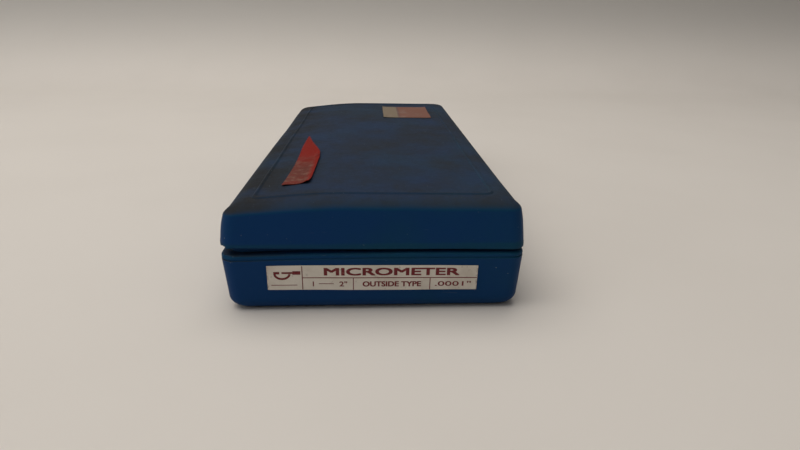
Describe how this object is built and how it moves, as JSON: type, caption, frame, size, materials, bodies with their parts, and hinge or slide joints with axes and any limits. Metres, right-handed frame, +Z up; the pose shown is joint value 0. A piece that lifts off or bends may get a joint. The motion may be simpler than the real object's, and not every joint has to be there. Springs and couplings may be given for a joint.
{
  "type": "outside micrometer set in its case",
  "caption": "Outside micrometer for 1 to 2 inches with its setting standard and spanner, lying in a foam bed in a hinged moulded plastic case.",
  "frame": {"origin": "middle of the case's underside, where it rests", "axes": "+Z up; +Y along the case's length, away from the labelled end; +X towards the hinge side"},
  "size_m": [0.1002, 0.208, 0.036],
  "materials": {
    "case_plastic": "soft moulded polyethylene, worn satin",
    "label_paper": "aged cream paper with dark red print",
    "red_paper": "torn and faded red paper",
    "orange_paper": "worn orange and beige paper",
    "bed_foam": "cut charcoal foam",
    "pad_foam": "grey foam",
    "frame_enamel": "baked wrinkle enamel",
    "steel": "ground tool steel",
    "satin_chrome": "satin chrome",
    "carbide": "lapped carbide",
    "black_plastic": "fine-grained moulded plastic"
  },
  "bodies": {
    "case": {"case_base": "case_plastic", "hinge_pin": "steel", "end_label": "label_paper", "foam_bed": "bed_foam", "frame": "frame_enamel", "grip_plate_upper": "black_plastic", "grip_plate_lower": "black_plastic", "grip_screw_upper_1": "steel", "grip_screw_upper_2": "steel", "grip_screw_lower_1": "steel", "grip_screw_lower_2": "steel", "anvil": "steel", "anvil_tip": "carbide", "inner_sleeve": "steel", "graduated_sleeve": "satin_chrome", "adjusting_nut": "steel", "setting_standard": "steel", "standard_grip": "black_plastic", "spanner": "steel"},
    "lid": {"case_lid": "case_plastic", "sticker_red": "red_paper", "sticker_orange": "orange_paper", "lid_pad": "pad_foam"},
    "spindle_slide": {"spindle_tip": "carbide"},
    "thimble": {"spindle": "steel", "thimble": "satin_chrome", "ratchet_body": "steel", "ratchet_screw": "steel"},
    "ratchet": {"ratchet_knob": "satin_chrome", "ratchet_spring": "steel"},
    "lock": {"lock_lever": "steel", "lock_screw": "steel"}
  },
  "joints": [
    {"name": "lid_hinge", "type": "hinge", "parent": "case", "child": "lid", "pos_m": [0.0479, 0, 0.0199], "axis": [0, 1, 0], "range_deg": [0, 180]},
    {"name": "spindle_travel", "type": "slide", "parent": "case", "child": "spindle_slide", "axis": [0, -1, 0], "range_m": [0, 0.0254]},
    {"name": "thimble_turn", "type": "hinge", "parent": "spindle_slide", "child": "thimble", "pos_m": [-0.03, -0.02, 0.018], "axis": [0, -1, 0], "range_deg": [0, 14400]},
    {"name": "ratchet_slip", "type": "hinge", "parent": "thimble", "child": "ratchet", "pos_m": [-0.03, -0.052, 0.018], "axis": [0, -1, 0], "continuous": true},
    {"name": "lock_turn", "type": "hinge", "parent": "case", "child": "lock", "pos_m": [-0.03, 0.0135, 0.018], "axis": [0, 0, 1], "range_deg": [0, 60]}
  ],
  "couplings": [
    {"joint": "thimble_turn", "follows": "spindle_travel", "rad_per_m": 9894.7}
  ]
}
